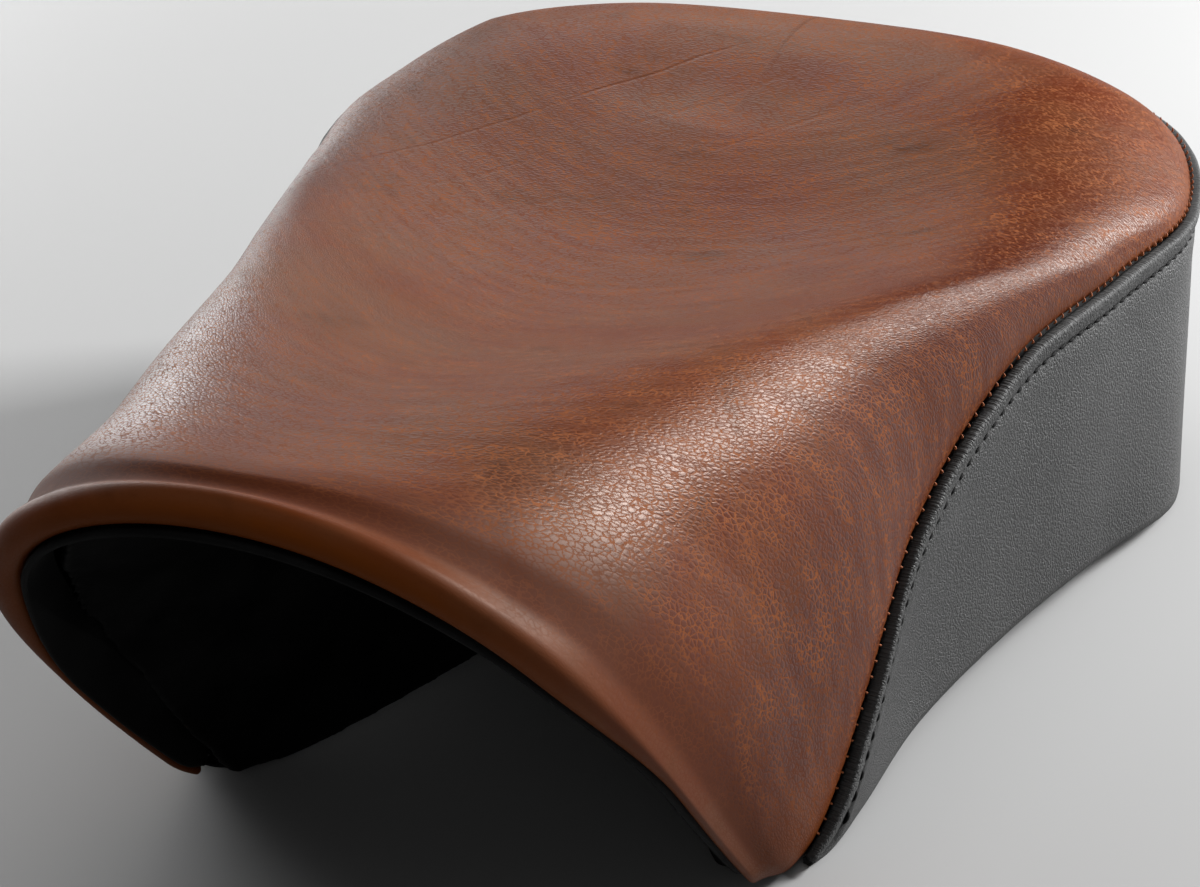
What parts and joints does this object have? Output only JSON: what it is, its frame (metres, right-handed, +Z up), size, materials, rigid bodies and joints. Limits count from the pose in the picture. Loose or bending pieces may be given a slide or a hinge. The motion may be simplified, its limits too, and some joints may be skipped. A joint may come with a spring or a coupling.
{
  "type": "motorcycle seat",
  "caption": "Upholstered solo motorcycle saddle with a distressed brown leather top, black vinyl side wall, raised seam band and an arched nose that straddles the frame.",
  "frame": {"origin": "centre of the overall box in plan, on the floor plane through the tail edge and the two leg tips", "axes": "+X to the seated rider's left, symmetric about X = 0; +Y from the nose to the tail; +Z up through the riding surface"},
  "size_m": [0.256, 0.4572, 0.1571],
  "materials": {
    "leather": "distressed semi-gloss",
    "vinyl": "fine grained satin",
    "edge_rubber": "matte",
    "bead": "matte",
    "foam": "open cell matte, charcoal",
    "gel": "soft satin",
    "pan": "fine textured matte",
    "bracket_paint": "black satin",
    "zinc": "zinc plated",
    "bumper_rubber": "matte"
  },
  "bodies": {
    "root": {"leather_cover": "leather", "side_skirt": "vinyl", "seam_band": "vinyl", "nose_trim": "edge_rubber", "lip_bead": "bead", "foam_cushion": "foam", "comfort_pad": "gel", "base_pan": "pan", "front_bracket": "bracket_paint", "rear_bracket": "bracket_paint", "cross_bar": "bracket_paint", "screw_1": "zinc", "washer_1": "zinc", "bumper_1": "bumper_rubber", "bumper_screw_1": "zinc", "screw_2": "zinc", "washer_2": "zinc", "bumper_2": "bumper_rubber", "bumper_screw_2": "zinc", "screw_3": "zinc", "washer_3": "zinc", "bumper_3": "bumper_rubber", "bumper_screw_3": "zinc", "screw_4": "zinc", "washer_4": "zinc", "bumper_4": "bumper_rubber", "bumper_screw_4": "zinc", "bar_rivet_1": "zinc", "grommet_1": "edge_rubber", "bar_rivet_2": "zinc", "grommet_2": "edge_rubber"}
  },
  "joints": []
}
